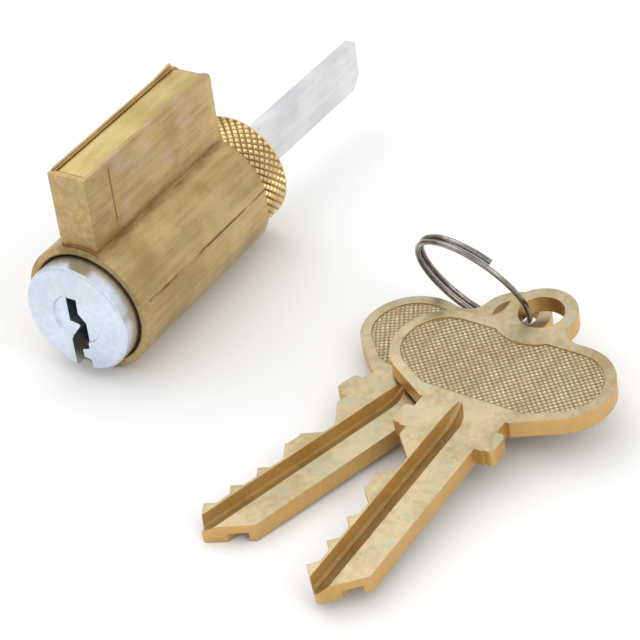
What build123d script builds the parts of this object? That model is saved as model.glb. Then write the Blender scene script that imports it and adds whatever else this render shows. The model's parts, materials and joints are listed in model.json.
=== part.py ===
from build123d import *

import os
from math import atan, cos, radians, sin, sqrt

# A pin tumbler cylinder for a door knob: a round brass shell with a bible on top, a plug with a
# raised head, a screw cap, a flat tailpiece, and two cut keys hanging on a split ring.
# Millimetres. The origin is on the plug's axis, at the front plane of the shell. +Y runs from the
# head to the tailpiece, +Z runs up through the bible, and +X is to the right seen from the front.

# ---- driving dimensions: shell -------------------------------------------------------------
SHELL_R = 8.45
SHELL_LENGTH = 27.2
COLLAR_LENGTH = 1.4
SIDE_FLAT_DEPTH = 0.25
BIBLE_WIDTH = 5.2
BIBLE_TOP = 18.2
BIBLE_FRONT = 0.5
BIBLE_REAR_GAP = 0.2
BIBLE_CORNER_R = 1.1
BORE_CHAMFER = 0.2

# ---- plug ----------------------------------------------------------------------------------
PLUG_R = 6.35
HEAD_R = 7.2
HEAD_PROUD = 2.65
HEAD_SEAT = 1.0
HEAD_CHAMFER = 0.3
DISH_R = 3.4
DISH_DEPTH = 0.3
TAIL_STEP = 0.15
TAIL_LENGTH = 3.4
RUNNING = 0.05
HEAD_GAP = 0.08

# ---- pin stacks ----------------------------------------------------------------------------
PIN_COUNT = 5
PIN_PITCH = 3.9
FIRST_CUT = 5.3
PIN_R = 1.45
PIN_CLEARANCE = 0.05
PIN_POINT = 0.7
PIN_POINT_R = 0.5
PIN_CHAMFER = 0.25
SHEAR_GAP = 0.06
DRIVER_LENGTH = 4.6
PIN_DROP = 1.4
SPRING_WIRE_R = 0.14
SPRING_TURNS = 7
SPRING_SIDE_GAP = 0.12
SPRING_END_GAP = 0.05

# ---- cover strip over the springs ----------------------------------------------------------
STRIP_THICK = 0.45
STRIP_GAP = 0.05
STRIP_DROP = 0.23
LIP_WIDTH = 0.55
STRIP_FRONT_WALL = 0.8
STRIP_END_GAP = 0.35
LIP_THICK = 0.3
LIP_LOW = 0.15
LIP_HIGH = 0.55
LIP_FLARE = 5.0

# ---- screw cap, cap pin and tailpiece ------------------------------------------------------
CAP_R = 7.7
CAP_LENGTH = 5.7
CAP_WALL = 1.1
CAP_HOLE_R = 3.7
CAP_CHAMFER = 0.35
CAP_END_GAP = 0.1
THREAD_GAP = 0.03
NOTCH_COUNT = 8
NOTCH_DEPTH = 0.5
NOTCH_GAP = 0.12
CAP_PIN_R = 0.55
CAP_PIN_INSET = 0.9
CAP_PIN_LENGTH = 4.4
CAP_PIN_BITE = 0.35
CAP_SPRING_LENGTH = 2.6
CAP_SPRING_TURNS = 5
CAP_SPRING_WIRE_R = 0.09
TAIL_DISC_R = 4.5
TAIL_DISC_GAP = 0.1
TAIL_THICK = 1.5
TAIL_HEIGHT = 6.6
TAIL_REACH = 28.0
TAIL_CORNER = 1.6
TAIL_ROUND = 1.0
TAIL_DROOP = 1.5
TONGUE_WIDTH = 2.2
TONGUE_LENGTH = 6.0
TONGUE_DEPTH = 1.0
TONGUE_GAP = 0.1
LOST_MOTION = 15.0

# ---- keys ----------------------------------------------------------------------------------
KEY_THICK = 2.2
KEY_GAP = 0.1
BLADE_HEIGHT = 8.9
BLADE_REACH = 25.7
TIP_OFFSET = 0.1
TIP_ROUND = 0.5
CUT_DEPTHS = (1.7, 1.65, 1.65, 3.3, 1.65)
CUT_FLAT = 1.8
KEYWAY_RISE = 2.75
STOP_HALF = 6.6
STOP_LENGTH = 3.07
STOP_ROUND = 0.6
NECK_HALF = 5.4
SHOULDER_HALF = 5.8
SHOULDER_Y = 4.9
BOW_LOBE_R = 6.3
BOW_LOBE_X = 7.7
BOW_LOBE_Y = 13.2
EYE_R = 4.3
EYE_HOLE_R = 2.75
EYE_X = -0.2
EYE_Y = 22.8
WAIST_FILLET = 2.4
PANEL_EDGE = 1.3
PANEL_START = 6.9
PANEL_EYE_R = 5.7
PANEL_DEPTH = 0.18
GROOVE_DEPTH = 1.4
GROOVE_END = 1.9
RUNOUT_R = 6.0
BACK_GROOVE_LOW = 2.1
BACK_GROOVE_HIGH = 3.8
BACK_GROOVE_DEPTH = 1.1
BACK_GROOVE_STOP = 0.3
RELIEF_DEPTH = 0.9
RELIEF_WALL = 2.6
RELIEF_FOOT = 1.5

# ---- how the keys and the ring lie ---------------------------------------------------------
KEY_A_X = 37.7
KEY_A_Y = 1.97
KEY_A_TURN = 18.3
KEY_A_SLOPE = 0.037
KEY_A_LIFT = 0.0
KEY_B_X = 48.5
KEY_B_Y = -1.32
KEY_B_TURN = 3.0
KEY_B_SLOPE = 0.08
KEY_B_SINK = 1.0
RING_R = 7.8
RING_WIRE_R = 0.34
RING_COIL_GAP = 0.08
RING_TURNS = 1.6
RING_X = 40.19
RING_Y = 22.2
RING_RISE = 8.24
RING_NORMAL = (-0.1934, -0.8944, -0.4032)
RING_START = (0.526, -0.441, 0.727)

# ---- derived ---------------------------------------------------------------------------------
BORE_R = PLUG_R + RUNNING
TAIL_R = PLUG_R - TAIL_STEP
CAP_PIN_OFFSET = TAIL_R - CAP_PIN_INSET
KEY_B_LIFT = KEY_THICK - KEY_B_SINK
RING_Z = RING_RISE - SHELL_R
CHAMBER_R = PIN_R + PIN_CLEARANCE
BIBLE_REAR = SHELL_LENGTH - BIBLE_REAR_GAP
STRIP_TOP = BIBLE_TOP - STRIP_DROP
CHANNEL_FLOOR = STRIP_TOP - STRIP_THICK - STRIP_GAP
CHANNEL_FRONT = BIBLE_FRONT + STRIP_FRONT_WALL
CHANNEL_HALF = BIBLE_WIDTH / 2 - LIP_WIDTH
BLADE_HALF = BLADE_HEIGHT / 2
BLADE_MIDDLE = KEYWAY_RISE - 2 * KEY_GAP - BLADE_HALF
KEY_PIN_TOP = sqrt(PLUG_R ** 2 - PIN_R ** 2) - SHEAR_GAP
DRIVER_BASE = BORE_R + SHEAR_GAP
SPRING_BASE = DRIVER_BASE + DRIVER_LENGTH + SPRING_END_GAP
SPRING_TOP = CHANNEL_FLOOR - SPRING_END_GAP
SPRING_R = PIN_R - SPRING_SIDE_GAP - SPRING_WIRE_R
CHAMBER_FLOOR = BLADE_MIDDLE + min(CUT_DEPTHS) - PIN_DROP - KEY_GAP
PLUG_REAR = SHELL_LENGTH + TAIL_LENGTH
CAP_FRONT = SHELL_LENGTH + CAP_END_GAP
CAP_REAR = CAP_FRONT + CAP_LENGTH
CAP_INSIDE = CAP_REAR - CAP_WALL
DISC_FRONT = PLUG_REAR + TAIL_DISC_GAP
DISC_REAR = CAP_INSIDE - TAIL_DISC_GAP
CAP_PIN_REAR = CAP_INSIDE + CAP_PIN_BITE
CAP_PIN_FRONT = CAP_PIN_REAR - CAP_PIN_LENGTH
CAP_SPRING_FRONT = CAP_PIN_FRONT - CAP_SPRING_LENGTH
KEYWAY_END = BLADE_REACH - HEAD_PROUD + 1.2


def across(y):
    """A drawing plane square to the plug's axis: local x is +X, local y is +Z."""
    return Plane.XZ.offset(-y)


def pin_station(index):
    """The place along the axis of one pin stack, counted from the head."""
    return FIRST_CUT - HEAD_PROUD + index * PIN_PITCH


def key_plane(x, y, turn, slope, lift):
    """The plane of a key's under face, its tip resting at the given lift over the ground."""
    along = (sin(radians(turn)) * cos(atan(slope)), cos(radians(turn)) * cos(atan(slope)), sin(atan(slope)))
    side = (cos(radians(turn)), -sin(radians(turn)), 0)
    height = -SHELL_R + lift + BLADE_REACH * sin(atan(slope))
    return Plane(origin=(x, y, height), x_dir=side, z_dir=Vector(*side).cross(Vector(*along)))


os.makedirs("parts", exist_ok=True)

# ---- shell: round body, collar and bible in one casting --------------------------------------
with BuildPart() as shell:
    with BuildSketch(across(0)):
        Circle(SHELL_R)
    extrude(amount=-COLLAR_LENGTH)
    with BuildSketch(across(COLLAR_LENGTH)):
        Circle(SHELL_R)
        Rectangle(2 * (SHELL_R - SIDE_FLAT_DEPTH), 2 * SHELL_R, mode=Mode.INTERSECT)
    extrude(amount=-(SHELL_LENGTH - COLLAR_LENGTH))
    # The bible stands on the body and stops just short of both ends.
    with BuildSketch(across(BIBLE_FRONT)):
        with Locations((0, BIBLE_TOP / 2)):
            Rectangle(BIBLE_WIDTH, BIBLE_TOP)
    extrude(amount=-(BIBLE_REAR - BIBLE_FRONT))
    fillet(edges().filter_by(Axis.X).filter_by_position(Axis.Z, BIBLE_TOP - 0.1, BIBLE_TOP + 0.1)
           .sort_by(Axis.Y)[-1], BIBLE_CORNER_R)
    # The plug's bore, with a seat for the head flange at the front.
    with BuildSketch(across(0)):
        Circle(BORE_R)
    extrude(amount=-SHELL_LENGTH, mode=Mode.SUBTRACT)
    with BuildSketch(across(0)):
        Circle(HEAD_R + HEAD_GAP)
    extrude(amount=-(HEAD_SEAT + RUNNING), mode=Mode.SUBTRACT)
    chamfer(edges().filter_by(GeomType.CIRCLE).filter_by_position(Axis.Y, -0.05, 0.05)
            .sort_by(SortBy.RADIUS)[0], BORE_CHAMFER)
    # One bore in the bible for each pin stack, and the channel that closes them.
    with BuildSketch():
        with Locations([(0, pin_station(i)) for i in range(PIN_COUNT)]):
            Circle(CHAMBER_R)
    extrude(amount=CHANNEL_FLOOR, mode=Mode.SUBTRACT)
    with BuildSketch(across(CHANNEL_FRONT)):
        with Locations((0, CHANNEL_FLOOR + STRIP_THICK)):
            Rectangle(2 * CHANNEL_HALF, 2 * STRIP_THICK)
    extrude(amount=-(BIBLE_REAR - CHANNEL_FRONT), mode=Mode.SUBTRACT)
    # A thin burr of staked metal stands on the left lip and flares up at the rear.
    with BuildSketch(Plane.YZ.offset(-BIBLE_WIDTH / 2)):
        with BuildLine():
            Polyline((CHANNEL_FRONT, BIBLE_TOP - LIP_LOW), (CHANNEL_FRONT, BIBLE_TOP + LIP_LOW),
                     (BIBLE_REAR - LIP_FLARE, BIBLE_TOP + LIP_LOW),
                     (BIBLE_REAR - BIBLE_CORNER_R, BIBLE_TOP + LIP_HIGH),
                     (BIBLE_REAR - BIBLE_CORNER_R, BIBLE_TOP - LIP_LOW), close=True)
        make_face()
    extrude(amount=LIP_THICK)
shell.part.label = "shell"
export_step(shell.part, "parts/shell.step")

# ---- spring cover: the strip staked into the bible's channel ----------------------------------
with BuildPart() as spring_cover:
    with BuildSketch(Plane.XY.offset(STRIP_TOP - STRIP_THICK)):
        with Locations((0, (CHANNEL_FRONT + STRIP_END_GAP + BIBLE_REAR - BIBLE_CORNER_R) / 2)):
            Rectangle(2 * (CHANNEL_HALF - STRIP_GAP),
                      BIBLE_REAR - BIBLE_CORNER_R - CHANNEL_FRONT - STRIP_END_GAP)
    extrude(amount=STRIP_THICK)
spring_cover.part.label = "spring_cover"
export_step(spring_cover.part, "parts/spring_cover.step")

# ---- plug: head, body and threaded tail, cut by the keyway and the pin chambers ----------------
with BuildPart() as plug:
    with BuildSketch(across(-HEAD_PROUD)):
        Circle(HEAD_R)
    extrude(amount=-(HEAD_PROUD + HEAD_SEAT))
    chamfer(edges().filter_by(GeomType.CIRCLE).sort_by(Axis.Y)[0], HEAD_CHAMFER)
    with BuildSketch(across(0)):
        Circle(PLUG_R)
    extrude(amount=-SHELL_LENGTH)
    with BuildSketch(across(SHELL_LENGTH)):
        Circle(TAIL_R)
    extrude(amount=-TAIL_LENGTH)
    # A shallow turned dish around the keyway.
    with BuildSketch(across(-HEAD_PROUD)):
        Circle(DISH_R)
    extrude(amount=-DISH_DEPTH, taper=35, mode=Mode.SUBTRACT)
    # The keyway: open at the bottom, with one ward from the left and one from the right.
    half_slot = KEY_THICK / 2 + KEY_GAP
    with BuildSketch(across(-HEAD_PROUD)):
        with BuildLine():
            Polyline((-half_slot, KEYWAY_RISE), (0.3, KEYWAY_RISE), (0.2, 0.7), (half_slot, -0.4),
                     (half_slot, -3.95), (0.15, -4.3), (0.15, -5.4), (half_slot, -5.6),
                     (half_slot, -SHELL_R), (-half_slot, -SHELL_R), (-half_slot, -2.9),
                     (0.18, -1.1), (0.1, -0.85), (-half_slot, -0.62), close=True)
        make_face()
    extrude(amount=-(HEAD_PROUD + KEYWAY_END), mode=Mode.SUBTRACT)
    with BuildSketch(Plane.XY.offset(CHAMBER_FLOOR)):
        with Locations([(0, pin_station(i)) for i in range(PIN_COUNT)]):
            Circle(CHAMBER_R)
    extrude(amount=2 * PLUG_R, mode=Mode.SUBTRACT)
    # The cap pin's bore and the slot that lets the tailpiece swing a little before it turns.
    with BuildSketch(across(CAP_SPRING_FRONT - SPRING_END_GAP)):
        with Locations((0, CAP_PIN_OFFSET)):
            Circle(CAP_PIN_R + PIN_CLEARANCE)
    extrude(amount=-(PLUG_REAR - CAP_SPRING_FRONT + SPRING_END_GAP), mode=Mode.SUBTRACT)
    reach = TONGUE_WIDTH / 2 + TONGUE_GAP
    swing = radians(LOST_MOTION)
    low_x = reach * cos(swing)
    low_z = reach * sin(swing)
    top_x = low_x + TONGUE_LENGTH * sin(swing)
    top_z = TONGUE_LENGTH * cos(swing) - low_z
    tongue_r = sqrt((TONGUE_LENGTH / 2) ** 2 + (TONGUE_WIDTH / 2) ** 2)
    with BuildSketch(across(PLUG_REAR)):
        for turn in (0, 180):
            with Locations(Location((0, 0, 0), (0, 0, turn))):
                Polygon((-low_x, -low_z), (low_x, -low_z), (top_x, top_z), (-top_x, top_z), align=None)
        Circle(tongue_r + TONGUE_GAP, mode=Mode.INTERSECT)
    extrude(amount=TONGUE_DEPTH + TONGUE_GAP, mode=Mode.SUBTRACT)
plug.part.label = "plug"
export_step(plug.part, "parts/plug.step")

# ---- screw cap ---------------------------------------------------------------------------------
with BuildPart() as screw_cap:
    with BuildSketch(across(CAP_FRONT)):
        Circle(CAP_R)
    extrude(amount=-CAP_LENGTH)
    chamfer(edges().filter_by(GeomType.CIRCLE), CAP_CHAMFER)
    with BuildSketch(across(CAP_FRONT)):
        Circle(TAIL_R + THREAD_GAP)
    extrude(amount=-(CAP_LENGTH - CAP_WALL), mode=Mode.SUBTRACT)
    with BuildSketch(across(CAP_INSIDE)):
        Circle(CAP_HOLE_R)
    extrude(amount=-CAP_WALL, mode=Mode.SUBTRACT)
    with BuildSketch(across(CAP_INSIDE)):
        with PolarLocations(CAP_PIN_OFFSET, NOTCH_COUNT, start_angle=90):
            Circle(CAP_PIN_R + NOTCH_GAP)
    extrude(amount=-NOTCH_DEPTH, mode=Mode.SUBTRACT)
screw_cap.part.label = "screw_cap"
export_step(screw_cap.part, "parts/screw_cap.step")

# ---- cap pin: holds the screw cap from turning off the plug -------------------------------------
with BuildPart() as cap_pin:
    with BuildSketch(across(CAP_PIN_FRONT)):
        with Locations((0, CAP_PIN_OFFSET)):
            Circle(CAP_PIN_R)
    extrude(amount=-CAP_PIN_LENGTH)
    chamfer(edges().filter_by(GeomType.CIRCLE).sort_by(Axis.Y)[-1], PIN_CHAMFER / 2)
cap_pin.part.label = "cap_pin"
export_step(cap_pin.part, "parts/cap_pin.step")

with BuildPart() as cap_pin_spring:
    coil_height = CAP_SPRING_LENGTH - 2 * CAP_SPRING_WIRE_R - SPRING_END_GAP
    with BuildLine() as coil:
        Helix(pitch=coil_height / CAP_SPRING_TURNS, height=coil_height,
              radius=CAP_PIN_R - CAP_SPRING_WIRE_R, direction=(0, 1, 0),
              center=(0, CAP_SPRING_FRONT + CAP_SPRING_WIRE_R, CAP_PIN_OFFSET))
    with BuildSketch(Plane(origin=coil.line @ 0, z_dir=coil.line % 0)):
        Circle(CAP_SPRING_WIRE_R)
    sweep(is_frenet=True)
cap_pin_spring.part.label = "cap_pin_spring"
export_step(cap_pin_spring.part, "parts/cap_pin_spring.step")

# ---- tailpiece: a disc held behind the cap's wall, with a tongue and a long flat blade ----------
with BuildPart() as tailpiece:
    with BuildSketch(across(DISC_FRONT)):
        Circle(TAIL_DISC_R)
    extrude(amount=-(DISC_REAR - DISC_FRONT))
    with BuildSketch(across(DISC_FRONT)):
        Rectangle(TONGUE_WIDTH, TONGUE_LENGTH)
    extrude(amount=TONGUE_DEPTH)
    blade_plane = Plane(origin=(-TAIL_THICK / 2, DISC_REAR, 0), x_dir=(0, 1, 0), z_dir=(1, 0, 0))
    with BuildSketch(blade_plane.rotated((0, 0, -TAIL_DROOP))):
        blade_tip = CAP_REAR + TAIL_REACH - DISC_REAR
        with BuildLine():
            Polyline((-TAIL_DISC_GAP, -TAIL_HEIGHT / 2), (blade_tip - TAIL_CORNER, -TAIL_HEIGHT / 2),
                     (blade_tip, TAIL_CORNER - TAIL_HEIGHT / 2), (blade_tip, TAIL_HEIGHT / 2),
                     (-TAIL_DISC_GAP, TAIL_HEIGHT / 2), close=True)
        make_face()
        fillet(vertices().sort_by(Axis.Y)[-1], TAIL_ROUND)
    extrude(amount=TAIL_THICK)
tailpiece.part.label = "tailpiece"
export_step(tailpiece.part, "parts/tailpiece.step")

# ---- pin stacks: a key pin, a driver and a spring at each station --------------------------------
with BuildPart() as driver_blank:
    with BuildSketch(Plane.XY.offset(DRIVER_BASE)):
        Circle(PIN_R)
    extrude(amount=DRIVER_LENGTH)
    chamfer(edges().filter_by(GeomType.CIRCLE), PIN_CHAMFER)

with BuildPart() as spring_blank:
    spring_height = SPRING_TOP - SPRING_BASE - 2 * SPRING_WIRE_R
    with BuildLine() as pin_coil:
        Helix(pitch=spring_height / SPRING_TURNS, height=spring_height, radius=SPRING_R,
              center=(0, 0, SPRING_BASE + SPRING_WIRE_R))
    with BuildSketch(Plane(origin=pin_coil.line @ 0, z_dir=pin_coil.line % 0)):
        Circle(SPRING_WIRE_R)
    sweep(is_frenet=True)

for station in range(PIN_COUNT):
    # The cuts are listed from the key's tip, the stations from the head.
    tip_z = BLADE_MIDDLE + CUT_DEPTHS[PIN_COUNT - 1 - station]
    with BuildPart() as key_pin:
        with BuildSketch(Plane((0, pin_station(station), tip_z))):
            Circle(PIN_R)
        extrude(amount=KEY_PIN_TOP - tip_z)
        chamfer(edges().filter_by(GeomType.CIRCLE).sort_by(Axis.Z)[-1], PIN_CHAMFER)
        chamfer(edges().filter_by(GeomType.CIRCLE).sort_by(Axis.Z)[0], PIN_POINT, PIN_R - PIN_POINT_R)
    key_pin.part.label = f"key_pin_{station + 1}"
    export_step(key_pin.part, f"parts/key_pin_{station + 1}.step")
    with BuildPart() as driver_pin:
        with Locations((0, pin_station(station), 0)):
            add(driver_blank.part)
    driver_pin.part.label = f"driver_pin_{station + 1}"
    export_step(driver_pin.part, f"parts/driver_pin_{station + 1}.step")
    with BuildPart() as pin_spring:
        with Locations((0, pin_station(station), 0)):
            add(spring_blank.part)
    pin_spring.part.label = f"pin_spring_{station + 1}"
    export_step(pin_spring.part, f"parts/pin_spring_{station + 1}.step")

# ---- key blank: drawn flat, the stop at y = 0, the cuts on the -X edge ---------------------------
with BuildSketch() as lobes:
    with Locations((-BOW_LOBE_X, BOW_LOBE_Y), (BOW_LOBE_X, BOW_LOBE_Y)):
        Circle(BOW_LOBE_R)
    with Locations((0, SHOULDER_Y + 0.5)):
        Rectangle(2 * SHOULDER_HALF, 1)
    make_hull()

with BuildPart() as key_blank:
    with BuildSketch() as bow:
        add(lobes.sketch)
        with Locations((EYE_X, EYE_Y)):
            Circle(EYE_R)
        fillet(vertices().filter_by_position(Axis.Y, BOW_LOBE_Y + BOW_LOBE_R - 0.2,
                                             BOW_LOBE_Y + BOW_LOBE_R + 0.2)
               .filter_by_position(Axis.X, -EYE_R, EYE_R), WAIST_FILLET)
        with Locations((0, SHOULDER_Y / 2)):
            Rectangle(2 * NECK_HALF, SHOULDER_Y + 0.4)
    extrude(amount=KEY_THICK)
    with BuildSketch():
        with Locations((0, STOP_LENGTH / 2)):
            RectangleRounded(2 * STOP_HALF, STOP_LENGTH, STOP_ROUND)
    extrude(amount=KEY_THICK)
    with BuildSketch() as blade:
        with BuildLine():
            Polyline((-BLADE_HALF, STOP_LENGTH / 2), (-BLADE_HALF, BLADE_HALF + TIP_OFFSET - BLADE_REACH),
                     (TIP_OFFSET, -BLADE_REACH), (BLADE_HALF, BLADE_HALF - TIP_OFFSET - BLADE_REACH),
                     (BLADE_HALF, STOP_LENGTH / 2), close=True)
        make_face()
        fillet(vertices().sort_by(Axis.Y)[0], TIP_ROUND)
        for cut, depth in enumerate(CUT_DEPTHS):
            centre = -FIRST_CUT - (PIN_COUNT - 1 - cut) * PIN_PITCH
            wide = CUT_FLAT / 2 + BLADE_HEIGHT - depth
            Polygon((-depth, centre - CUT_FLAT / 2), (-depth, centre + CUT_FLAT / 2),
                    (-BLADE_HEIGHT, centre + wide), (-BLADE_HEIGHT, centre - wide),
                    align=None, mode=Mode.SUBTRACT)
    extrude(amount=KEY_THICK)
    with BuildSketch():
        with Locations((EYE_X, EYE_Y)):
            Circle(EYE_HOLE_R)
    extrude(amount=KEY_THICK, mode=Mode.SUBTRACT)
    # The groove in the upper face, and its ramp out at the shoulder.
    with BuildSketch(across(-BLADE_REACH)) as groove:
        with BuildLine():
            Polyline((-1.4, KEY_THICK), (-1.15, KEY_THICK - GROOVE_DEPTH),
                     (-0.75, KEY_THICK - GROOVE_DEPTH), (1.2, KEY_THICK), close=True)
        make_face()
    extrude(amount=-(BLADE_REACH + GROOVE_END), mode=Mode.SUBTRACT)
    with BuildSketch(across(GROOVE_END)):
        with BuildLine():
            Polyline((-1.4, KEY_THICK), (-1.15, KEY_THICK - GROOVE_DEPTH),
                     (-0.75, KEY_THICK - GROOVE_DEPTH), (1.2, KEY_THICK), close=True)
        make_face()
    revolve(axis=Axis((0, GROOVE_END, KEY_THICK - GROOVE_DEPTH + RUNOUT_R), (1, 0, 0)),
            revolution_arc=50, mode=Mode.SUBTRACT)
    # The groove in the under face, and the relief along the cut edge.
    with BuildSketch(across(-BLADE_REACH)):
        with Locations(((BACK_GROOVE_LOW + BACK_GROOVE_HIGH) / 2, 0)):
            Rectangle(BACK_GROOVE_HIGH - BACK_GROOVE_LOW, 2 * BACK_GROOVE_DEPTH)
        with BuildLine():
            Polyline((-BLADE_HEIGHT, 0), (-BLADE_HEIGHT, RELIEF_DEPTH), (-RELIEF_WALL, RELIEF_DEPTH),
                     (-RELIEF_FOOT, 0), close=True)
        make_face()
    extrude(amount=-(BLADE_REACH - BACK_GROOVE_STOP), mode=Mode.SUBTRACT)
    # Sunk panels on both faces of the bow.
    for face_height, sink in ((KEY_THICK, -PANEL_DEPTH), (0, PANEL_DEPTH)):
        with BuildSketch(Plane.XY.offset(face_height)):
            add(lobes.sketch)
            offset(amount=-PANEL_EDGE, mode=Mode.REPLACE)
            with Locations((0, PANEL_START / 2)):
                Rectangle(4 * BOW_LOBE_X, PANEL_START, mode=Mode.SUBTRACT)
            with Locations((EYE_X, EYE_Y)):
                Circle(PANEL_EYE_R, mode=Mode.SUBTRACT)
        extrude(amount=sink, mode=Mode.SUBTRACT)

# ---- the two keys as they lie, fanned out and one on the other ------------------------------------
with BuildPart() as key_a:
    with Locations(key_plane(KEY_A_X, KEY_A_Y, KEY_A_TURN, KEY_A_SLOPE, KEY_A_LIFT).location):
        add(key_blank.part)
key_a.part.label = "key_a"
export_step(key_a.part, "parts/key_a.step")

with BuildPart() as key_b:
    with Locations(key_plane(KEY_B_X, KEY_B_Y, KEY_B_TURN, KEY_B_SLOPE, KEY_B_LIFT).location):
        add(key_blank.part)
key_b.part.label = "key_b"
export_step(key_b.part, "parts/key_b.step")

# ---- split ring: one wire wound a little over one and a half turns ---------------------------------
coil_pitch = 2 * RING_WIRE_R + RING_COIL_GAP
ring_height = coil_pitch * RING_TURNS
ring_normal = Vector(*RING_NORMAL).normalized()
ring_foot = Vector(RING_X, RING_Y, RING_Z) - ring_normal * (ring_height / 2)
ring_plane = Plane(origin=ring_foot, x_dir=Vector(*RING_START), z_dir=ring_normal)
with BuildPart() as ring_blank:
    with BuildLine() as ring_wire:
        Helix(pitch=coil_pitch, height=ring_height, radius=RING_R)
    with BuildSketch(Plane(origin=ring_wire.line @ 0, z_dir=ring_wire.line % 0)):
        Circle(RING_WIRE_R)
    sweep(is_frenet=True)
with BuildPart() as split_ring:
    with Locations(ring_plane.location):
        add(ring_blank.part)
split_ring.part.label = "split_ring"
export_step(split_ring.part, "parts/split_ring.step")
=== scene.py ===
"""Dresses the knob lock cylinder, its two keys and their split ring for a studio view."""

from __future__ import annotations

import json
import logging
import math
from dataclasses import dataclass
from enum import Enum
from typing import Sequence, Union

import bpy
from mathutils import Matrix, Vector

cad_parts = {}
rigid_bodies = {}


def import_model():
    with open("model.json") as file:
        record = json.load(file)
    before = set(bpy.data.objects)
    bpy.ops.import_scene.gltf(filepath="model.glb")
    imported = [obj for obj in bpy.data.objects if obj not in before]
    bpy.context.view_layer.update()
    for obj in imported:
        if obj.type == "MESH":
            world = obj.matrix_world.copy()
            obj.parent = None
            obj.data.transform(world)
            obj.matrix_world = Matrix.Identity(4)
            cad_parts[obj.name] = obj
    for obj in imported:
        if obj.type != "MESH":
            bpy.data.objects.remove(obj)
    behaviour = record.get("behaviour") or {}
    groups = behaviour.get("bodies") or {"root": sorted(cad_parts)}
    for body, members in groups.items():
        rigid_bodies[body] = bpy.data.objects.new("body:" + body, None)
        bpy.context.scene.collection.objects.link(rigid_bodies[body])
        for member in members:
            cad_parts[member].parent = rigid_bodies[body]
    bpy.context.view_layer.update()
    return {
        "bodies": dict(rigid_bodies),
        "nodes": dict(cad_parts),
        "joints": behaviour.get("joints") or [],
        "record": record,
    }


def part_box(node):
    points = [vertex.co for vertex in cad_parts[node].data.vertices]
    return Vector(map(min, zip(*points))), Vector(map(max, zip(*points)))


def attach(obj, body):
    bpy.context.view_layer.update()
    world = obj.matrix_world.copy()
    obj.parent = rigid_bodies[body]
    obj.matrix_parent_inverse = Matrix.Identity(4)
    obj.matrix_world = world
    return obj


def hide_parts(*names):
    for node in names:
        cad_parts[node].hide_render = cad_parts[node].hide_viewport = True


LOG = logging.getLogger("lock")
MM = 0.001
Colour = tuple[float, float, float]
Point = tuple[float, float, float]


class Grain(Enum):
    """How a finish's streaks are stretched along the row's axes."""

    EVEN = (1.0, 1.0, 1.0)
    DRAWN = (1.0, 0.1, 1.0)
    BODY = (1.0, 0.07, 1.0)


# ---------------------------------------------------------------- shader expressions


class Wire:
    """A node's output that takes part in Python expressions."""

    def __init__(self, sheet: "Sheet", socket: bpy.types.NodeSocket) -> None:
        """Keeps the sheet the wire is on and the socket it comes from."""
        self.sheet = sheet
        self.socket = socket

    def _math(self, operation: str, first: "Value", second: "Value") -> "Wire":
        """One Math node on two values."""
        return self.sheet.node("ShaderNodeMath", {"operation": operation}, {0: first, 1: second})

    def __add__(self, other: "Value") -> "Wire":
        """self + other"""
        return self._math("ADD", self, other)

    def __radd__(self, other: "Value") -> "Wire":
        """other + self"""
        return self._math("ADD", other, self)

    def __sub__(self, other: "Value") -> "Wire":
        """self - other"""
        return self._math("SUBTRACT", self, other)

    def __rsub__(self, other: "Value") -> "Wire":
        """other - self"""
        return self._math("SUBTRACT", other, self)

    def __mul__(self, other: "Value") -> "Wire":
        """self * other"""
        return self._math("MULTIPLY", self, other)

    def __rmul__(self, other: "Value") -> "Wire":
        """other * self"""
        return self._math("MULTIPLY", other, self)

    def __truediv__(self, other: "Value") -> "Wire":
        """self / other"""
        return self._math("DIVIDE", self, other)

    def __pow__(self, other: "Value") -> "Wire":
        """self to the power of other"""
        return self._math("POWER", self, other)

    def step(self, low: float, high: float) -> "Wire":
        """A smooth rise from 0 at low to 1 at high.

        Args:
            low: the value where the rise starts.
            high: the value where it ends; it may be the smaller one.

        Returns:
            The wire of the eased value.
        """
        settings = {"interpolation_type": "SMOOTHSTEP", "clamp": True}
        ends = {"Value": self, 1: low, 2: high, 3: 0.0, 4: 1.0}
        return self.sheet.node("ShaderNodeMapRange", settings, ends)


Value = Union[Wire, float, int, Sequence[float]]


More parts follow.
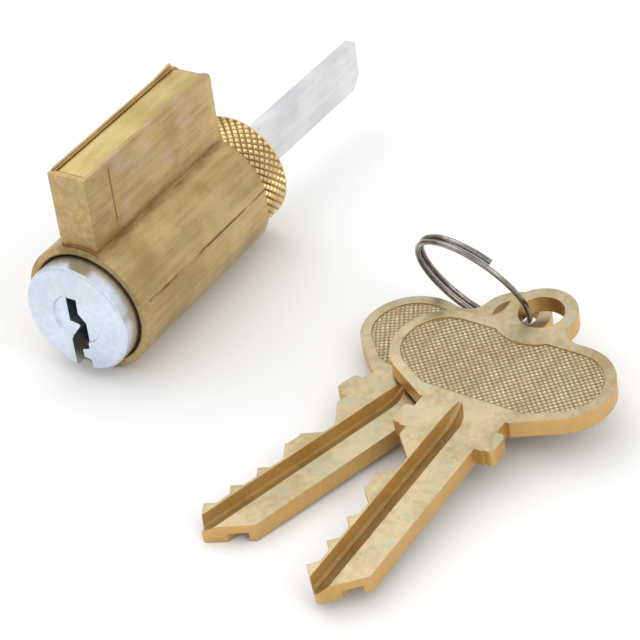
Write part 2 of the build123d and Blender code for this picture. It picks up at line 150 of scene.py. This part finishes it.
class Sheet:
    """The node sheet of one material."""

    def __init__(self, name: str) -> None:
        """Starts an empty material with a metal shader on it.

        Args:
            name: the material's name.
        """
        self.material = bpy.data.materials.new(name)
        self.material.use_nodes = True
        self.tree = self.material.node_tree
        self.shader = self.tree.nodes["Principled BSDF"]
        coordinates = self.tree.nodes.new("ShaderNodeTexCoord")
        self.place = Wire(self, coordinates.outputs["Object"])

    def node(self, kind: str, settings: dict, inputs: dict, output: Union[int, str] = 0) -> Wire:
        """Adds a node.

        Args:
            kind: the node's type.
            settings: what is set on the node before its sockets.
            inputs: socket name or number to a wire or a value.
            output: the output to carry on from.

        Returns:
            The wire of that output.
        """
        made = self.tree.nodes.new(kind)
        for key, value in settings.items():
            if key == "stops":
                self._set_stops(made.color_ramp, value)
            else:
                setattr(made, key, value)
        for key, value in inputs.items():
            self.feed(made.inputs[key], value)
        return Wire(self, made.outputs[output])

    @staticmethod
    def _set_stops(ramp: bpy.types.ColorRamp, stops: Sequence[tuple[float, Colour]]) -> None:
        """Puts the stops on a colour ramp."""
        while len(ramp.elements) < len(stops):
            ramp.elements.new(0.5)
        for element, (place, colour) in zip(ramp.elements, stops):
            element.position = place
            element.color = (*colour, 1.0)

    def feed(self, socket: bpy.types.NodeSocket, value: Value) -> None:
        """Links a wire to a socket, or sets a plain value on it."""
        if isinstance(value, Wire):
            self.tree.links.new(value.socket, socket)
        elif isinstance(value, (tuple, list)) and socket.type == "RGBA":
            socket.default_value = (*value, 1.0)
        else:
            socket.default_value = value

    def split(self) -> tuple[Wire, Wire, Wire]:
        """The place on the object as three wires, in millimetres."""
        scaled = self.node("ShaderNodeVectorMath", {"operation": "SCALE"}, {0: self.place, "Scale": 1.0 / MM})
        parts = self.tree.nodes.new("ShaderNodeSeparateXYZ")
        self.tree.links.new(scaled.socket, parts.inputs[0])
        return tuple(Wire(self, parts.outputs[i]) for i in range(3))

    def stretched(self, scale: Point, turn: Point = (0.0, 0.0, 0.0)) -> Wire:
        """The place on the object in turned and stretched millimetres.

        Args:
            scale: the stretch of each axis.
            turn: the turn about each axis, in degrees.

        Returns:
            The wire of the new coordinates.
        """
        angles = tuple(math.radians(angle) for angle in turn)
        sizes = tuple(size / MM for size in scale)
        return self.node("ShaderNodeMapping", {}, {"Vector": self.place, "Rotation": angles, "Scale": sizes})

    def noise(self, scale: float, stretch: Point = (1.0, 1.0, 1.0), turn: Point = (0.0, 0.0, 0.0),
              detail: float = 3.0, rough: float = 0.55) -> Wire:
        """Cloudy noise from 0 to 1.

        Args:
            scale: cells to the millimetre.
            stretch: the stretch of each axis.
            turn: the turn about each axis, in degrees.
            detail: how many finer layers it has.
            rough: how strong the finer layers are.

        Returns:
            The wire of the noise.
        """
        vector = self.stretched(stretch, turn)
        return self.node("ShaderNodeTexNoise", {}, {"Vector": vector, "Scale": scale, "Detail": detail,
                                                    "Roughness": rough})

    def cells(self, scale: float, stretch: Point = (1.0, 1.0, 1.0)) -> Wire:
        """The distance to the nearest of scattered points, for pits and specks."""
        return self.node("ShaderNodeTexVoronoi", {}, {"Vector": self.stretched(stretch), "Scale": scale})

    def mix(self, share: Value, first: Value, second: Value) -> Wire:
        """A colour between two, by share.

        Args:
            share: 0 for the first colour and 1 for the second.
            first: a colour or its wire.
            second: a colour or its wire.

        Returns:
            The wire of the mixed colour.
        """
        return self.node("ShaderNodeMix", {"data_type": "RGBA"}, {0: share, 6: first, 7: second}, 2)

    def darken(self, colour: Value, share: Value, shade: Colour) -> Wire:
        """A colour multiplied towards a shade, by share."""
        return self.node("ShaderNodeMix", {"data_type": "RGBA", "blend_type": "MULTIPLY"},
                         {0: share, 6: colour, 7: shade}, 2)

    def metal(self, colour: Value, rough: Value, height: Wire, depth: float, bevel: float) -> None:
        """Joins the finished signals to the metal shader.

        Args:
            colour: the metal's colour.
            rough: its roughness.
            height: the relief, from 0 to 1.
            depth: the relief's real height in millimetres.
            bevel: the radius that sharp edges catch the light with, in millimetres.
        """
        edge = self.node("ShaderNodeBevel", {"samples": 6}, {"Radius": bevel * MM})
        relief = self.node("ShaderNodeBump", {}, {"Height": height, "Distance": depth * MM,
                                                  "Strength": 1.0, "Normal": edge})
        self.feed(self.shader.inputs["Base Color"], colour)
        self.feed(self.shader.inputs["Roughness"], rough)
        self.feed(self.shader.inputs["Normal"], relief)
        self.shader.inputs["Metallic"].default_value = 1.0


# ---------------------------------------------------------------- finishes


@dataclass(frozen=True)
class Metal:
    """A worked metal: two tones, a tarnish tint, tool streaks and specks."""

    name: str
    pale: Colour
    deep: Colour
    tint: Colour
    tint_share: float = 0.35
    grain: Point = Grain.EVEN.value
    grain_scale: float = 1.2
    rough: float = 0.3
    rough_spread: float = 0.16
    depth: float = 0.02
    speck_share: float = 0.5
    bevel: float = 0.1

    def signals(self, sheet: Sheet) -> tuple[Wire, Wire, Wire]:
        """The finish's colour, roughness and relief.

        Args:
            sheet: the node sheet they are made on.

        Returns:
            Three wires: colour, roughness and height.
        """
        cloud = sheet.noise(0.16, detail=4.0)
        streak = sheet.noise(self.grain_scale, self.grain, detail=5.0, rough=0.62)
        fine = sheet.noise(self.grain_scale * 6.0, self.grain, detail=3.0)
        specks = sheet.cells(1.7)
        tone = (cloud * 0.55 + streak * 0.45).step(0.36, 0.64)
        colour = sheet.mix(tone, self.deep, self.pale)
        tarnish = sheet.noise(0.3, turn=(20.0, 35.0, 10.0), detail=3.0).step(0.48, 0.7) * self.tint_share
        colour = sheet.mix(tarnish, colour, self.tint)
        pit = specks.step(0.16, 0.05) * self.speck_share * streak.step(0.45, 0.6)
        colour = sheet.darken(colour, pit, (0.35, 0.27, 0.2))
        rough = self.rough + (streak - 0.5) * self.rough_spread + (fine - 0.5) * self.rough_spread + pit * 0.2
        height = streak * 0.6 + fine * 0.4 - pit * 0.8
        return colour, rough, height

    def make(self) -> bpy.types.Material:
        """Builds the material.

        Returns:
            The finished material.
        """
        sheet = Sheet(self.name)
        colour, rough, height = self.signals(sheet)
        sheet.metal(colour, rough, height, self.depth, self.bevel)
        return sheet.material


@dataclass(frozen=True)
class ShellMetal(Metal):
    """The shell's aged brass, with scratches on the bible, dirt where it was handled, and painted shade in the
    corner under the bible and along the collar's inner edge.
    """

    scribe: float = 5.1

    def make(self) -> bpy.types.Material:
        """Builds the material.

        Returns:
            The finished material.
        """
        sheet = Sheet(self.name)
        colour, rough, height = self.signals(sheet)
        x, y, z = sheet.split()
        # Drawn streaks on the round body run along it; the bible's sides carry slanting scratches.
        bible = z.step(7.8, 9.0)
        slant = sheet.noise(2.6, (1.0, 0.12, 1.0), (-24.0, 0.0, 0.0), detail=4.0, rough=0.7)
        cross = sheet.noise(3.4, (1.0, 0.1, 1.0), (38.0, 0.0, 0.0), detail=2.0)
        scratch = (slant.step(0.6, 0.72) * 0.7 + cross.step(0.64, 0.72) * 0.5) * bible
        colour = sheet.darken(colour, scratch * 0.45, (0.5, 0.4, 0.3))
        blush = sheet.noise(0.42, (1.0, 0.5, 1.0), detail=2.0).step(0.52, 0.66) * bible * 0.35
        colour = sheet.mix(blush, colour, (0.62, 0.42, 0.40))
        # A scribed line crosses the bible's side.
        near = (y - self.scribe) * (y - self.scribe)
        scribe = near.step(0.02, 0.004) * z.step(9.7, 10.2) * z.step(17.8, 17.2) * x.step(2.4, 2.55)
        colour = sheet.darken(colour, scribe * 0.7, (0.35, 0.25, 0.18))
        # Painted shade darkens the corner between body and bible, in patches, and the collar's inner edge where
        # it meets the plug.
        foot = z.step(9.2, 8.0) * z.step(7.2, 7.8) * x.step(4.2, 3.0)
        painted_corner_shade = foot * sheet.noise(0.8, (1.0, 0.3, 1.0)).step(0.35, 0.7) * 0.6
        colour = sheet.darken(colour, painted_corner_shade, (0.4, 0.28, 0.18))
        span = (x * x + z * z) ** 0.5
        # Painted shade: the band just inside the collar's rim, at the front, is darkened where it meets the
        # plug.
        inner = span.step(7.75, 7.45) * y.step(0.6, 0.2)
        colour = sheet.darken(colour, inner, (0.28, 0.17, 0.1))
        # A dirty line runs along each flat's edge, and fine grit darkens patches of the casting.
        worn = sheet.noise(0.9, (1.0, 0.25, 1.0), detail=4.0).step(0.36, 0.56)
        edge = x.step(8.0, 8.1) * ((z - 2.05) * (z - 2.05)).step(0.06, 0.004) * y.step(1.4, 1.6) * worn
        colour = sheet.darken(colour, edge * 0.9, (0.3, 0.2, 0.12))
        grit = sheet.noise(5.0, detail=4.0, rough=0.7).step(0.56, 0.68) * sheet.noise(0.5).step(0.4, 0.62)
        colour = sheet.darken(colour, grit * 0.5, (0.42, 0.33, 0.22))
        height = height - scratch * 0.5 - scribe * 1.5
        sheet.metal(colour, rough + scratch * 0.12 + painted_corner_shade * 0.2, height, self.depth, self.bevel)
        return sheet.material


@dataclass(frozen=True)
class TurnedMetal(Metal):
    """A plated metal faced on a lathe: fine rings around the plug's axis."""

    ring_pitch: float = 0.16

    def make(self) -> bpy.types.Material:
        """Builds the material.

        Returns:
            The finished material.
        """
        sheet = Sheet(self.name)
        colour, rough, height = self.signals(sheet)
        x, _, z = sheet.split()
        span = (x * x + z * z) ** 0.5
        phase = span * (2.0 * math.pi / self.ring_pitch)
        wave = sheet.node("ShaderNodeMath", {"operation": "SINE"}, {0: phase})
        height = height * 0.5 + wave * 0.12
        sheet.metal(colour, rough, height, self.depth, self.bevel)
        return sheet.material


@dataclass(frozen=True)
class KeyMetal(Metal):
    """The keys' metal, with a deeper orange-brown on their side walls: partly tarnish, partly painted shade."""

    # The side walls' colour: partly tarnish, partly painted shade.
    wall: Colour = (0.50, 0.36, 0.24)

    def make(self) -> bpy.types.Material:
        """Builds the material.

        Returns:
            The finished material.
        """
        sheet = Sheet(self.name)
        colour, rough, height = self.signals(sheet)
        facing = sheet.node("ShaderNodeNewGeometry", {}, {}, "True Normal")
        local = sheet.node("ShaderNodeVectorTransform", {"vector_type": "NORMAL", "convert_from": "WORLD",
                                                         "convert_to": "OBJECT"}, {0: facing})
        parts = sheet.tree.nodes.new("ShaderNodeSeparateXYZ")
        sheet.tree.links.new(local.socket, parts.inputs[0])
        upright = Wire(sheet, parts.outputs[2])
        wall = (upright * upright).step(0.7, 0.2)
        spots = sheet.noise(0.9, detail=3.0).step(0.3, 0.7)
        # Oil and heat leave faint rose patches, and handling leaves fine scratches along the key.
        blush = sheet.noise(0.55, turn=(10.0, 0.0, 40.0), detail=3.0).step(0.52, 0.68) * 0.45
        colour = sheet.mix(blush, colour, (0.56, 0.40, 0.30))
        scratch = sheet.noise(3.0, (1.0, 0.1, 1.0), (0.0, 0.0, -14.0), detail=4.0, rough=0.7).step(0.6, 0.72)
        colour = sheet.darken(colour, scratch * 0.4, (0.45, 0.36, 0.24))
        # The side walls, found by how far their normal leans from upright, are painted a deeper orange-brown:
        # partly tarnish, partly painted shade.
        colour = sheet.mix(wall * (0.55 + spots * 0.35), colour, self.wall)
        sheet.metal(colour, rough + wall * 0.12, height, self.depth, self.bevel)
        return sheet.material


@dataclass(frozen=True)
class KnurledMetal(Metal):
    """A metal with cut points: pale on their tops, with painted shade in the valleys between them."""

    # The colour of the painted shade in the valleys.
    valley: Colour = (0.20, 0.12, 0.05)
    valley_share: float = 0.85

    def make(self) -> bpy.types.Material:
        """Builds the material.

        Returns:
            The finished material.
        """
        sheet = Sheet(self.name)
        colour, rough, height = self.signals(sheet)
        tooth = sheet.node("ShaderNodeAttribute", {"attribute_name": "tooth"}, {}, "Fac")
        # The valleys between the points are painted dark as shade.
        low = tooth.step(0.55, 0.05) * self.valley_share
        colour = sheet.mix(low, colour, self.valley)
        sheet.metal(colour, rough + low * 0.2, height, self.depth, self.bevel)
        return sheet.material


SHELL = ShellMetal("shell_brass", (0.60, 0.44, 0.21), (0.40, 0.27, 0.11), (0.40, 0.35, 0.18),
                   grain=Grain.BODY.value, rough=0.36, depth=0.012)
STRIP = Metal("strip_brass", (0.62, 0.50, 0.22), (0.46, 0.34, 0.12), (0.48, 0.43, 0.20),
              grain=Grain.DRAWN.value, rough=0.32, depth=0.008)
CAP = KnurledMetal("cap_brass", (0.92, 0.72, 0.38), (0.66, 0.47, 0.20), (0.80, 0.64, 0.34),
                   rough=0.24, depth=0.008, bevel=0.03)
NICKEL = TurnedMetal("plug_nickel", (0.74, 0.81, 0.91), (0.60, 0.67, 0.77), (0.66, 0.69, 0.68),
                     rough=0.3, rough_spread=0.1, depth=0.006, speck_share=0.25)
ZINC = Metal("tailpiece_zinc", (0.76, 0.76, 0.77), (0.60, 0.61, 0.63), (0.74, 0.74, 0.72),
             grain=Grain.DRAWN.value, rough=0.36, depth=0.008, speck_share=0.2)
# The keys' wall colour is partly tarnish, partly painted shade.
KEY = KeyMetal("key_brass", (0.56, 0.46, 0.28), (0.38, 0.30, 0.16), (0.42, 0.42, 0.31), tint_share=0.6,
               rough=0.34, depth=0.006, bevel=0.1, wall=(0.72, 0.43, 0.14))
# The panels' knurl valleys also carry painted shade, in their valley colour.
PANEL = KnurledMetal("panel_brass", (0.74, 0.62, 0.40), (0.56, 0.46, 0.27), (0.62, 0.58, 0.42), rough=0.28,
                     depth=0.002, speck_share=0.1, bevel=0.02, valley=(0.22, 0.15, 0.07), valley_share=0.9)
RING = Metal("ring_steel", (0.40, 0.39, 0.37), (0.16, 0.15, 0.14), (0.30, 0.24, 0.17), rough=0.18,
             depth=0.003, speck_share=0.2, bevel=0.05)
PIN = Metal("pin_brass", (0.72, 0.54, 0.22), (0.50, 0.34, 0.12), (0.56, 0.46, 0.20), rough=0.26, depth=0.004)
SPRING = Metal("spring_steel", (0.60, 0.61, 0.64), (0.38, 0.39, 0.42), (0.46, 0.42, 0.36), rough=0.28,
               depth=0.004, bevel=0.03)


# ---------------------------------------------------------------- shapes


def mesh_piece(name: str, points: Sequence[Point], faces: Sequence[Sequence[int]],
               smooth: bool) -> bpy.types.Object:
    """Makes a mesh piece.

    Args:
        name: the piece's name.
        points: its corners, in millimetres.
        faces: its faces, as numbers of corners.
        smooth: whether light runs smoothly over its faces.

    Returns:
        The new piece, linked to the scene.
    """
    mesh = bpy.data.meshes.new(name)
    mesh.from_pydata([(x * MM, y * MM, z * MM) for x, y, z in points], [], faces)
    mesh.validate()
    mesh.update()
    mesh.polygons.foreach_set("use_smooth", [smooth] * len(mesh.polygons))
    piece = bpy.data.objects.new(name, mesh)
    bpy.context.scene.collection.objects.link(piece)
    return piece


def mark_teeth(piece: bpy.types.Object, heights: Sequence[float]) -> None:
    """Stores each corner's height on its tooth, from 0 in the valley to 1 on the point."""
    piece.data.attributes.new("tooth", "FLOAT", "POINT").data.foreach_set("value", heights)


def dress(piece: bpy.types.Object, material: bpy.types.Material) -> None:
    """Puts one material on all of a piece."""
    piece.data.materials.clear()
    piece.data.materials.append(material)


def triangle_wave(value: float) -> float:
    """0 on every whole number and 1 halfway between."""
    part = value % 1.0
    return 2.0 * min(part, 1.0 - part)


@dataclass
class Lock:
    """The cylinder's own pieces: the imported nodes, dressed in their finishes."""

    nodes: dict[str, bpy.types.Object]
    stacks: int = 5

    def finishes(self) -> dict[str, Metal]:
        """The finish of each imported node, by name."""
        table: dict[str, Metal] = {"shell": SHELL, "spring_cover": STRIP, "plug": NICKEL, "tailpiece": ZINC,
                                   "cap_pin": PIN, "cap_pin_spring": SPRING}
        for number in range(1, self.stacks + 1):
            table[f"key_pin_{number}"] = PIN
            table[f"driver_pin_{number}"] = PIN
            table[f"pin_spring_{number}"] = SPRING
        return table

    def build(self) -> None:
        """Dresses every node of the cylinder."""
        made: dict[str, bpy.types.Material] = {}
        for node, finish in self.finishes().items():
            if finish.name not in made:
                made[finish.name] = finish.make()
            dress(self.nodes[node], made[finish.name])
            LOG.info("dressed %s in %s", node, finish.name)


@dataclass
class ScrewCap:
    """The knurled screw cap, turned around the plug's axis."""

    body: str = "plug_assembly"
    diamonds: int = 42
    samples: int = 8
    knurl_depth: float = 0.32
    rim: float = 0.55
    lead: float = 0.3
    wall: float = 1.1
    bore: float = 6.23
    hole: float = 3.7
    chamfer: float = 0.3

    def profile(self, front: float, rear: float, radius: float) -> list[tuple[float, float, bool]]:
        """The cap's section, outside first.

        Args:
            front: where the cap starts along the axis.
            rear: where it ends.
            radius: its outer radius.

        Returns:
            Radius, place along the axis, and whether the knurl cuts the point.
        """
        start = front + self.lead
        stop = rear - self.rim
        pitch = 2.0 * math.pi * radius / self.diamonds
        rows = round((stop - start) / pitch * self.samples)
        points = [(radius - self.chamfer - 0.15, front, False), (radius - self.knurl_depth, start - 0.02, False)]
        points += [(radius, start + (stop - start) * row / rows, True) for row in range(rows + 1)]
        points += [(radius - self.knurl_depth, stop + 0.03, False), (radius - 0.1, stop + 0.08, False),
                   (radius - 0.1, rear - self.chamfer, False), (radius - self.chamfer - 0.1, rear, False),
                   (self.hole + 0.15, rear, False), (self.hole, rear - 0.15, False),
                   (self.hole, rear - self.wall, False), (self.bore, rear - self.wall, False),
                   (self.bore, front, False)]
        return points

    def build(self) -> bpy.types.Object:
        """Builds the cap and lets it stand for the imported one.

        Returns:
            The knurled cap.
        """
        low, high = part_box("screw_cap")
        front, rear, radius = low.y / MM, high.y / MM, high.x / MM
        profile = self.profile(front, rear, radius)
        columns = self.diamonds * self.samples
        pitch = 2.0 * math.pi * radius / self.diamonds
        points: list[Point] = []
        teeth: list[float] = []
        for column in range(columns):
            angle = 2.0 * math.pi * column / columns
            turns = self.diamonds * column / columns
            for span, along, cut in profile:
                tooth = 1.0
                if cut:
                    rise = (along - front) / pitch
                    tooth = min(triangle_wave(turns + rise), triangle_wave(turns - rise))
                    span -= self.knurl_depth * (1.0 - min(1.0, 1.35 * tooth))
                points.append((span * math.cos(angle), along, span * math.sin(angle)))
                teeth.append(tooth)
        count = len(profile)
        faces = []
        for column in range(columns):
            here = column * count
            there = (column + 1) % columns * count
            for row in range(count):
                after = (row + 1) % count
                faces.append((here + row, here + after, there + after, there + row))
        cap = mesh_piece("knurled_cap", points, faces, False)
        mark_teeth(cap, teeth)
        dress(cap, CAP.make())
        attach(cap, self.body)
        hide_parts("screw_cap")
        LOG.info("built %s with %d corners", cap.name, len(points))
        return cap


@dataclass
class KeyPanels:
    """The two knurled panels of one key, sunk in its bow."""

    node: str
    x: float
    y: float
    turn: float
    slope: float
    lift: float
    thick: float = 2.2
    reach: float = 25.7
    ground: float = -8.45
    lobe_x: float = 7.7
    lobe_y: float = 13.2
    lobe_r: float = 6.3
    rim: float = 1.3
    shoulder: tuple[float, float] = (5.8, 4.9)
    start: float = 6.9
    eye: tuple[float, float] = (-0.2, 22.8)
    eye_r: float = 5.7
    sink: float = 0.18
    crest: float = 0.17
    pitch: float = 0.54
    samples: int = 4

    def plane(self) -> Matrix:
        """The key's own frame: x across it, y from the stop to the eye, z out of its face."""
        turn, tilt = math.radians(self.turn), math.atan(self.slope)
        side = Vector((math.cos(turn), -math.sin(turn), 0.0))
        along = Vector((math.sin(turn) * math.cos(tilt), math.cos(turn) * math.cos(tilt), math.sin(tilt)))
        out = side.cross(along)
        height = self.ground + self.lift + self.reach * math.sin(tilt)
        frame = Matrix((side, along, out)).transposed().to_4x4()
        frame.translation = Vector((self.x, self.y, height))
        return frame

    def inside(self, x: float, y: float) -> float:
        """How far a point is inside the panel's outline.

        Args:
            x: the place across the key.
            y: the place along the key.

        Returns:
            The distance to the outline in millimetres, below zero outside it.
        """
        across, up = abs(x) - self.lobe_x, y - self.lobe_y
        fall = (self.shoulder[0] - self.lobe_x, self.shoulder[1] - self.lobe_y)
        # Below this direction the outline leaves the lobe on a tangent to the shoulder.
        lean = math.atan2(fall[1], fall[0]) + math.acos(self.lobe_r / math.hypot(*fall))
        if lean <= math.atan2(up, across) <= math.pi / 2:
            bow = self.lobe_r - math.hypot(across, up)
        else:
            bow = self.lobe_r - max(across * math.cos(lean) + up * math.sin(lean), up)
        bow -= self.rim
        eye = math.hypot(x - self.eye[0], y - self.eye[1]) - self.eye_r
        return min(bow, y - self.start, eye)

    def surface(self, name: str, level: float, up: float) -> bpy.types.Object:
        """Builds one panel as a sheet of small diamond points.

        Args:
            name: the piece's name.
            level: the height of the panel's floor in the key's frame.
            up: 1 for the upper face, -1 for the lower one.

        Returns:
            The panel.
        """
        step = self.pitch / self.samples
        half = self.lobe_x + self.lobe_r
        columns = int(2 * half / step) + 1
        rows = int((self.lobe_y + self.lobe_r - self.start) / step) + 1
        frame = self.plane()
        points: list[Point] = []
        margin: list[float] = []
        teeth: list[float] = []
        for row in range(rows + 1):
            for column in range(columns + 1):
                x, y = -half + column * step, self.start + row * step
                depth = self.inside(x, y)
                tooth = min(triangle_wave((x + y) / (2 ** 0.5 * self.pitch)),
                            triangle_wave((x - y) / (2 ** 0.5 * self.pitch)))
                height = 0.01 + self.crest * min(1.0, 1.2 * tooth) * max(0.0, min(1.0, depth / 0.3))
                points.append(tuple(frame @ Vector((x, y, level + up * height))))
                margin.append(depth)
                teeth.append(tooth)
        faces = []
        for row in range(rows):
            for column in range(columns):
                first = row * (columns + 1) + column
                ring = (first, first + 1, first + columns + 2, first + columns + 1)
                if min(margin[corner] for corner in ring) > 0.02:
                    faces.append(ring if up > 0 else ring[::-1])
        panel = mesh_piece(name, points, faces, False)
        mark_teeth(panel, teeth)
        return panel

    def build(self) -> None:
        """Builds both panels, dresses them and lets them ride the key."""
        finish = PANEL.make()
        for side, level, up in (("upper", self.thick - self.sink, 1.0), ("lower", self.sink, -1.0)):
            panel = self.surface(f"{self.node}_{side}_panel", level, up)
            clear_loose(panel)
            dress(panel, finish)
            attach(panel, self.node)
            LOG.info("built %s with %d corners", panel.name, len(panel.data.vertices))


def clear_loose(piece: bpy.types.Object) -> None:
    """Deletes the corners that no face uses, and keeps the teeth of the rest."""
    mesh = piece.data
    used = sorted({corner for face in mesh.polygons for corner in face.vertices})
    order = {corner: place for place, corner in enumerate(used)}
    points = [tuple(mesh.vertices[corner].co) for corner in used]
    teeth = [mesh.attributes["tooth"].data[corner].value for corner in used]
    faces = [[order[corner] for corner in face.vertices] for face in mesh.polygons]
    mesh.clear_geometry()
    mesh.from_pydata(points, [], faces)
    mesh.update()
    mark_teeth(piece, teeth)


# ---------------------------------------------------------------- studio


@dataclass
class Studio:
    """The floor, the lights and the camera."""

    azimuth: float = 35.68
    elevation: float = 35.74
    roll: float = -7.8
    aim: Point = (27.17, 8.58, 0.0)
    distance: float = 290.4
    lens: float = 140.6
    sensor: float = 36.0
    ground: float = -8.45
    floor_size: float = 4000.0

    def build(self) -> None:
        """Sets the whole studio up."""
        bpy.context.scene.view_settings.view_transform = "Standard"
        self.floor()
        self.sky()
        self.lamp("key", (-260.0, 120.0, 420.0), 400.0, 0.5)
        self.lamp("fill", (380.0, -60.0, 300.0), 200.0, 0.25)
        self.camera()

    def floor(self) -> None:
        """Lays the pale floor."""
        half = self.floor_size / 2
        corners = [(-half, -half, self.ground), (half, -half, self.ground), (half, half, self.ground),
                   (-half, half, self.ground)]
        floor = mesh_piece("floor", corners, [(0, 1, 2, 3)], False)
        sheet = Sheet("floor_paper")
        tone = sheet.noise(0.02, detail=2.0).step(0.3, 0.7)
        sheet.feed(sheet.shader.inputs["Base Color"], sheet.mix(tone, (0.93, 0.93, 0.93), (0.95, 0.95, 0.95)))
        sheet.feed(sheet.shader.inputs["Roughness"], 0.9)
        dress(floor, sheet.material)

    def sky(self) -> None:
        """Surrounds the object with even white light that is a little dimmer near the horizon."""
        world = bpy.data.worlds.new("studio")
        bpy.context.scene.world = world
        world.use_nodes = True
        tree = world.node_tree
        back = tree.nodes["Background"]
        place = tree.nodes.new("ShaderNodeTexCoord")
        parts = tree.nodes.new("ShaderNodeSeparateXYZ")
        ramp = tree.nodes.new("ShaderNodeValToRGB")
        tree.links.new(place.outputs["Generated"], parts.inputs[0])
        tree.links.new(parts.outputs[2], ramp.inputs[0])
        Sheet._set_stops(ramp.color_ramp, [(0.0, (0.75, 0.75, 0.76)), (0.6, (1.0, 1.0, 1.0))])
        tree.links.new(ramp.outputs[0], back.inputs[0])
        back.inputs[1].default_value = 1.0

    def lamp(self, name: str, place: Point, size: float, power: float) -> None:
        """Hangs a soft square lamp aimed at the object.

        Args:
            name: the lamp's name.
            place: where it hangs, in millimetres.
            size: the length of its sides, in millimetres.
            power: its power in watts.
        """
        data = bpy.data.lights.new(name, "AREA")
        data.size = size * MM
        data.energy = power
        lamp = bpy.data.objects.new(name, data)
        lamp.location = Vector(place) * MM
        lamp.rotation_euler = (Vector(self.aim) * MM - lamp.location).to_track_quat("-Z", "Y").to_euler()
        bpy.context.scene.collection.objects.link(lamp)

    def camera(self) -> None:
        """Places the camera on its line of sight to the aim point."""
        azimuth, elevation, roll = (math.radians(v) for v in (self.azimuth, self.elevation, self.roll))
        ahead = Vector((-math.sin(azimuth) * math.cos(elevation), math.cos(azimuth) * math.cos(elevation),
                        -math.sin(elevation)))
        level = Vector((math.cos(azimuth), math.sin(azimuth), 0.0))
        over = level.cross(ahead)
        right = level * math.cos(roll) + over * math.sin(roll)
        up = right.cross(ahead)
        data = bpy.data.cameras.new("camera")
        data.lens = self.lens
        data.sensor_width = self.sensor
        data.clip_end = 100.0
        data.clip_start = 0.01
        camera = bpy.data.objects.new("camera", data)
        matrix = Matrix((right, up, -ahead)).transposed().to_4x4()
        matrix.translation = (Vector(self.aim) - ahead * self.distance) * MM
        camera.matrix_world = matrix
        bpy.context.scene.collection.objects.link(camera)
        bpy.context.scene.camera = camera


def main() -> None:
    """Builds the sub-assemblies in order."""
    logging.basicConfig(level=logging.INFO, format="%(name)s: %(message)s")
    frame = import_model()
    Lock(frame["nodes"]).build()
    ScrewCap().build()
    for node in ("key_a", "key_b"):
        dress(frame["nodes"][node], KEY.make())
    KeyPanels("key_a", x=37.7, y=1.97, turn=18.3, slope=0.037, lift=0.0).build()
    KeyPanels("key_b", x=48.5, y=-1.32, turn=3.0, slope=0.08, lift=1.2).build()
    dress(frame["nodes"]["split_ring"], RING.make())
    Studio().build()


if __name__ == "__main__":
    main()
